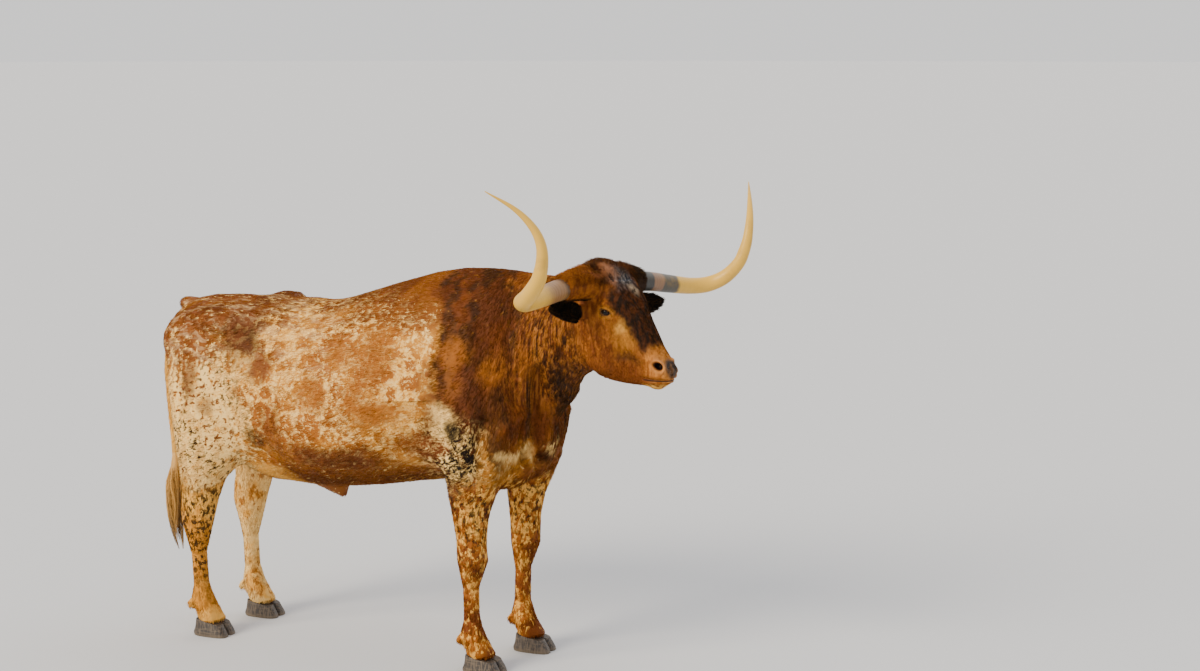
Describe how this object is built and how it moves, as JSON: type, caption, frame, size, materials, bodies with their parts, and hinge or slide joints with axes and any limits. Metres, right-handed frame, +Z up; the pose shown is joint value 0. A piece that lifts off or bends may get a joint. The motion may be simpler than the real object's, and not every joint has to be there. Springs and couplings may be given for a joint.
{
  "type": "longhorn steer",
  "caption": "Standing life-size Texas longhorn steer with its head turned to its right, wide upswept horns and a mottled red, cream and brown coat.",
  "frame": {"origin": "middle of the box around the whole animal, at floor level under the soles", "axes": "+X from the tail towards the head, +Y to the animal's left, +Z up"},
  "size_m": [2.4516, 1.498, 1.9367],
  "materials": {
    "hide": "short matt coat",
    "cream hide": "short matt coat, long and wavy at the end of the tail",
    "dark ear": "short matt coat",
    "horn": "satin horn",
    "hoof": "satin horn",
    "eye": "wet gloss"
  },
  "bodies": {
    "root": {"ear_left": "dark ear", "ear_right": "dark ear", "eye_left": "eye", "eye_right": "eye", "head": "hide", "hoof_front_left_inner": "hoof", "hoof_front_left_outer": "hoof", "hoof_front_right_inner": "hoof", "hoof_front_right_outer": "hoof", "hoof_hind_left_inner": "hoof", "hoof_hind_left_outer": "hoof", "hoof_hind_right_inner": "hoof", "hoof_hind_right_outer": "hoof", "horn_left": "horn", "horn_right": "horn", "leg_front_left": "hide", "leg_front_right": "hide", "leg_hind_left": "hide", "leg_hind_right": "hide", "neck": "hide", "tail": "cream hide", "tail_switch": "cream hide", "torso": "hide"}
  },
  "joints": []
}
